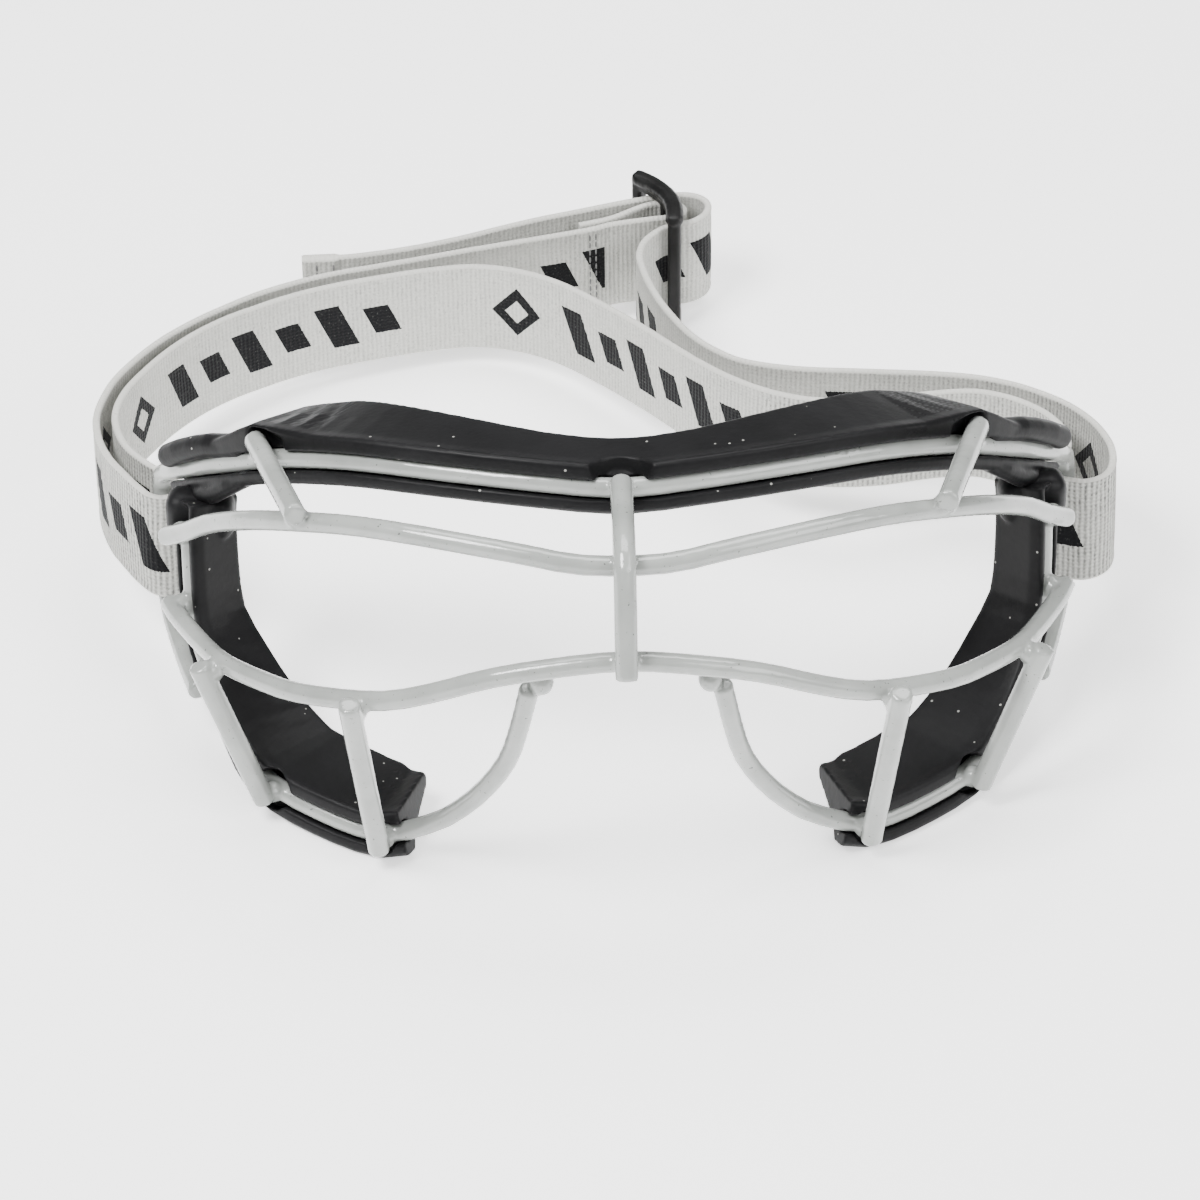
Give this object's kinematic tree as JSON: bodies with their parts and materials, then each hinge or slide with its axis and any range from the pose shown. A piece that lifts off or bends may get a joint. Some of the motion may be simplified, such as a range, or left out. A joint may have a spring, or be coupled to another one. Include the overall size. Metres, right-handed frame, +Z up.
{
  "type": "sports protective goggles",
  "caption": "Wire-cage sports goggles with a padded brow and cheeks, held on by an adjustable elastic strap with a slider.",
  "frame": {"origin": "centre of the overall bounding box in X and Y, at the surface that the cheek pads and the slider rest on", "axes": "+X towards the wearer's left, +Y from the front of the cage towards the back of the strap, +Z up from the surface"},
  "size_m": [0.1922, 0.2036, 0.0775],
  "materials": {
    "coated_steel": "satin light grey powder coat on round steel wire",
    "black_rubber": "satin moulded black rubber",
    "elastic_webbing": "woven light grey elastic webbing with fine cross ribs",
    "slider_plastic": "satin black moulded plastic"
  },
  "bodies": {
    "cage": {"brow_wire": "coated_steel", "upper_front_bar": "coated_steel", "lower_front_bar": "coated_steel", "centre_bar": "coated_steel", "left_cheek_wire": "coated_steel", "right_cheek_wire": "coated_steel", "upper_strut_left": "coated_steel", "upper_strut_right": "coated_steel", "lower_inner_strut_left": "coated_steel", "lower_inner_strut_right": "coated_steel", "lower_outer_strut_left": "coated_steel", "lower_outer_strut_right": "coated_steel", "brow_pad": "black_rubber", "left_side_pad": "black_rubber", "right_side_pad": "black_rubber", "strap_wrap_left": "elastic_webbing", "strap_wrap_right": "elastic_webbing"},
    "strap": {"strap_outer_left": "elastic_webbing", "strap_inner_run": "elastic_webbing", "strap_outer_right": "elastic_webbing"},
    "slider": {"strap_slider": "slider_plastic"},
    "tail": {"strap_tail": "elastic_webbing"}
  },
  "joints": [
    {"name": "strap_swing", "type": "hinge", "parent": "cage", "child": "strap", "pos_m": [0.0023, -0.01618, 0.0257], "axis": [1, 0, 0], "range_deg": [-35, 40]},
    {"name": "slider_tilt", "type": "hinge", "parent": "strap", "child": "slider", "pos_m": [0.01591, 0.0934, 0.0141], "axis": [0, 0, 1], "range_deg": [-5, 5]},
    {"name": "tail_swing", "type": "hinge", "parent": "strap", "child": "tail", "pos_m": [0.0088, 0.09687, 0.014], "axis": [0, 0, -1], "range_deg": [0, 25]}
  ]
}
